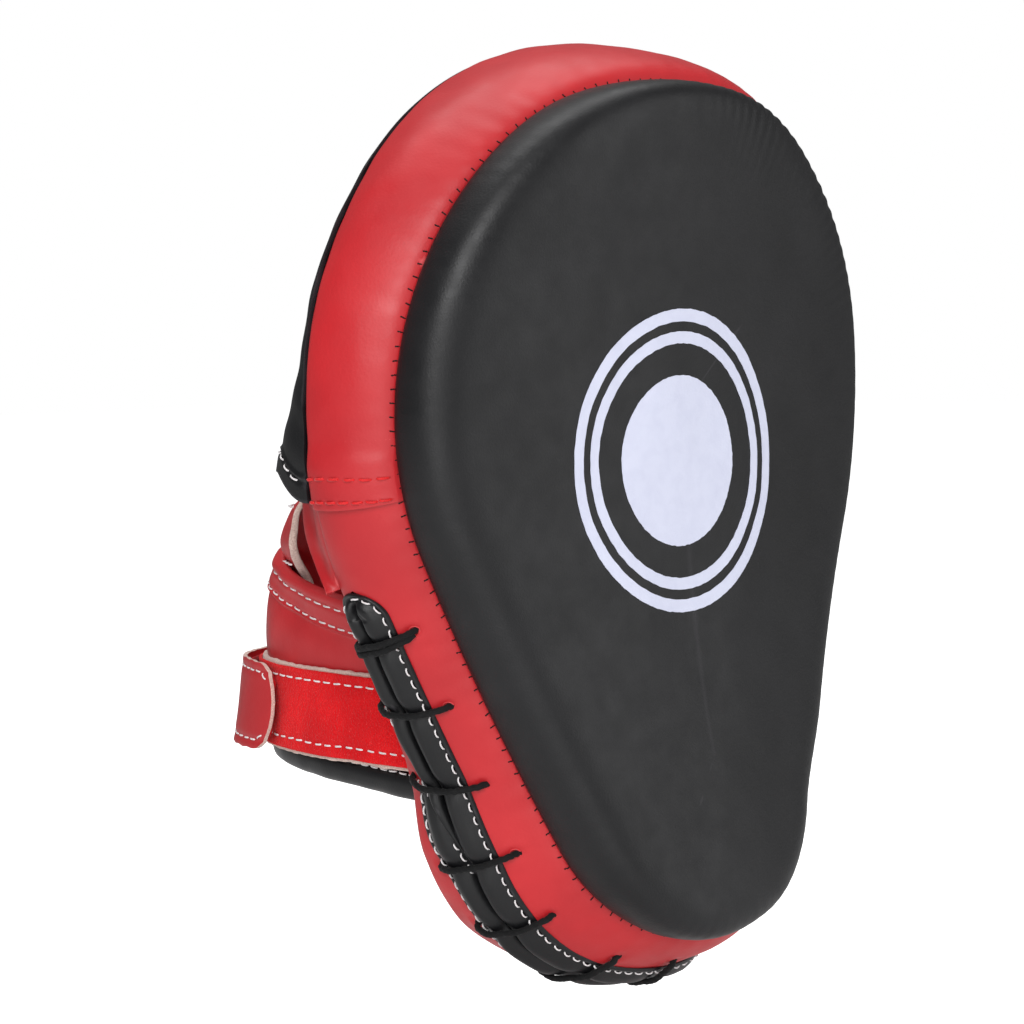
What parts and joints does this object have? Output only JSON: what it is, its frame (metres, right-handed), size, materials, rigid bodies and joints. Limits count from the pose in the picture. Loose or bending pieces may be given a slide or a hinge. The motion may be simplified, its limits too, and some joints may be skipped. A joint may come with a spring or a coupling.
{
  "type": "focus mitt",
  "caption": "Curved hand-held striking pad with a printed target, a laced heel, a finger hood, a glove part on its back and a hook-and-loop wrist strap.",
  "frame": {"origin": "the middle of the palm, on the flat back of the pad", "axes": "+Z to the fingertips, -Y out of the striking face towards the puncher, +X to the side away from the thumb (a mitt for the left hand)"},
  "size_m": [0.1972, 0.1567, 0.2614],
  "materials": {
    "red_leather": "satin",
    "black_leather": "satin",
    "black_binding": "satin",
    "white_print": "matte",
    "foam": "matte",
    "lining": "matte",
    "loop_tape": "matte",
    "hook_tape": "matte",
    "black_cord": "matte",
    "white_thread": "matte",
    "red_thread": "matte",
    "raw_edge": "matte"
  },
  "bodies": {
    "mitt": {"face_panel": "black_leather", "target_print": "white_print", "front_foam": "foam", "core_foam": "foam", "rear_foam": "foam", "finger_end_band": "red_leather", "heel_front_band": "red_leather", "heel_rear_band": "red_leather", "band_join_tabs": "red_leather", "front_binding": "black_binding", "rear_binding": "black_binding", "lace_tongue": "black_leather", "lace": "black_cord", "back_panel": "red_leather", "palm_ball_foam": "foam", "palm_ball_cover": "red_leather", "finger_hood": "black_leather", "hood_hem": "black_leather", "finger_panel": "red_leather", "knuckle_patch": "red_leather", "finger_dividers": "red_leather", "thumb_loop": "red_leather", "wrist_panel": "red_leather", "wrist_hem": "red_leather", "cuff_foam": "foam", "cuff_lining": "lining", "cuff_binding": "black_binding", "loop_strap": "red_leather", "loop_tape": "loop_tape", "strap_anchor": "red_leather"},
    "strap_root": {"strap_root_panel": "red_leather"},
    "strap_end": {"strap_end_panel": "red_leather", "hook_tape": "hook_tape"},
    "strap_tip": {"strap_tip_tab": "red_leather", "hook_tip_tape": "hook_tape"}
  },
  "joints": [
    {"name": "strap_swing", "type": "hinge", "parent": "mitt", "child": "strap_root", "pos_m": [0.06128, 0.04055, -0.03825], "axis": [0, 0, -1], "range_deg": [0, 120]},
    {"name": "strap_bend", "type": "hinge", "parent": "strap_root", "child": "strap_end", "pos_m": [0.04803, 0.08146, -0.03825], "axis": [0, 0, -1], "range_deg": [0, 70]},
    {"name": "strap_peel", "type": "hinge", "parent": "strap_end", "child": "strap_tip", "pos_m": [-0.05303, 0.07476, -0.03825], "axis": [0, 0, -1], "range_deg": [0, 60]}
  ]
}
